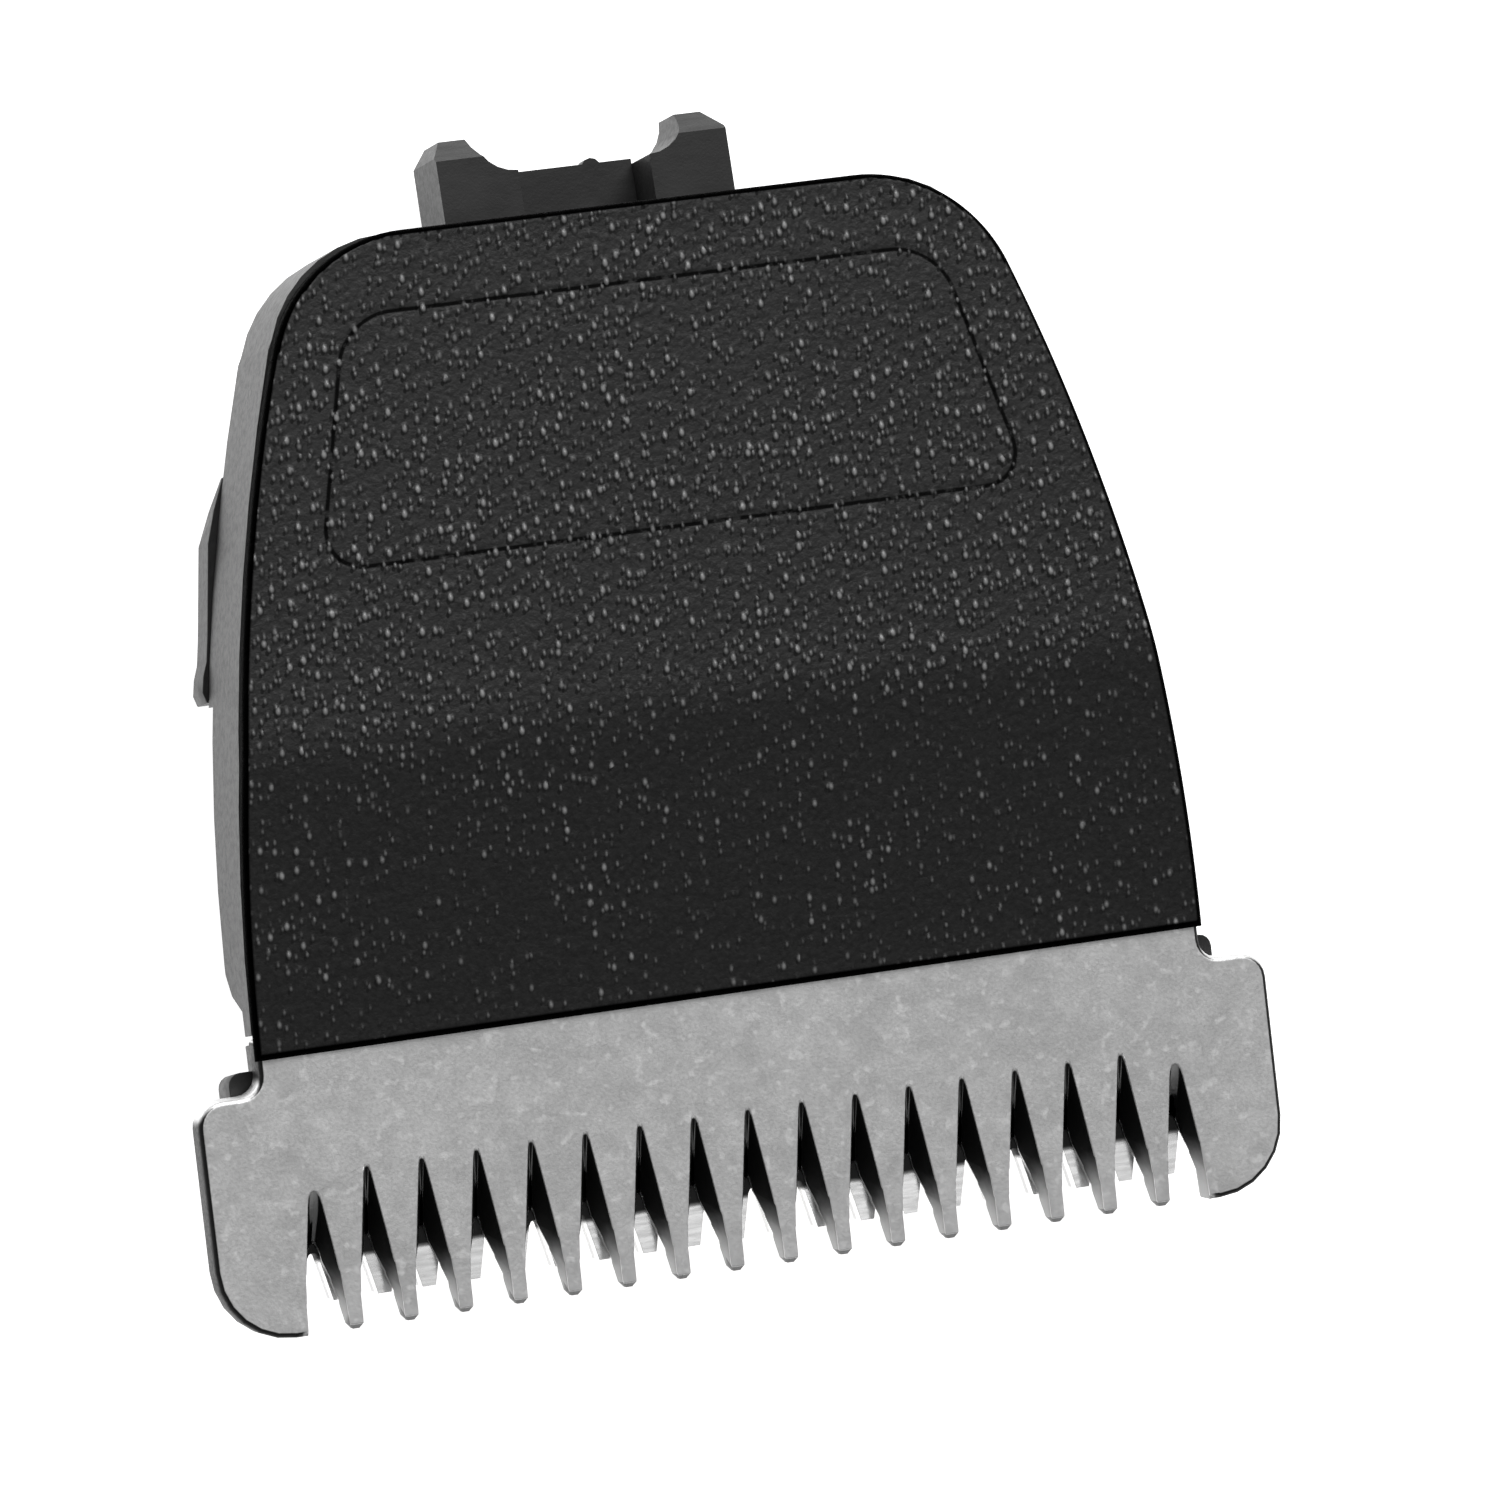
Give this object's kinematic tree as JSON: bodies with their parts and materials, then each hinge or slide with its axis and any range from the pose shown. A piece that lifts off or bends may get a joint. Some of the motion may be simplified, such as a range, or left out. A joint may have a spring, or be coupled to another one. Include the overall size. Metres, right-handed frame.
{
  "type": "trimmer cutting head",
  "caption": "T-blade cutting head for a hair trimmer: textured front cover, steel comb, sliding moving blade on a spring-pressed carrier, hooked plug.",
  "frame": {"origin": "bottom centre of the whole head, which lies on the rim of its plug with the front cover up", "axes": "+X along the comb, +Y from the comb's tips to the hook, +Z out of the front cover"},
  "size_m": [0.0318, 0.033, 0.0077],
  "materials": {
    "textured_plastic": "fine moulded grain",
    "smooth_plastic": "smooth satin",
    "black_plastic": "smooth",
    "ivory_nylon": "natural nylon, satin",
    "ground_steel": "fine-blasted satin",
    "dark_steel": "ground",
    "zinc_steel": "bright zinc plate",
    "spring_steel": "drawn wire"
  },
  "bodies": {
    "head": {"front_cover": "textured_plastic", "chassis": "smooth_plastic", "handle_plug": "smooth_plastic", "blade_guide": "black_plastic", "fixed_blade": "ground_steel", "tension_spring": "spring_steel", "spring_screw": "zinc_steel", "blade_screw_left": "zinc_steel", "blade_screw_right": "zinc_steel", "case_screw_low_left": "zinc_steel", "case_screw_low_right": "zinc_steel", "case_screw_high_left": "zinc_steel", "case_screw_high_right": "zinc_steel"},
    "cutter": {"moving_blade": "dark_steel", "cutter_carrier": "ivory_nylon", "drive_liner": "dark_steel", "carrier_pin_left": "zinc_steel", "carrier_pin_right": "zinc_steel"},
    "left_tab": {"snap_tab_left": "smooth_plastic"},
    "right_tab": {"snap_tab_right": "smooth_plastic"}
  },
  "joints": [
    {"name": "cutter_slide", "type": "slide", "parent": "head", "child": "cutter", "axis": [1, 0, 0], "range_m": [-0.0012, 0.0008]},
    {"name": "left_tab_flex", "type": "hinge", "parent": "head", "child": "left_tab", "pos_m": [-0.01133, 0.00731, 0.00277], "axis": [0, 0, 1], "range_deg": [0, 4.5], "stiffness_Nm_per_rad": 0.02},
    {"name": "right_tab_flex", "type": "hinge", "parent": "head", "child": "right_tab", "pos_m": [0.01133, 0.00731, 0.00277], "axis": [0, 0, -1], "range_deg": [0, 4.5], "stiffness_Nm_per_rad": 0.02}
  ]
}
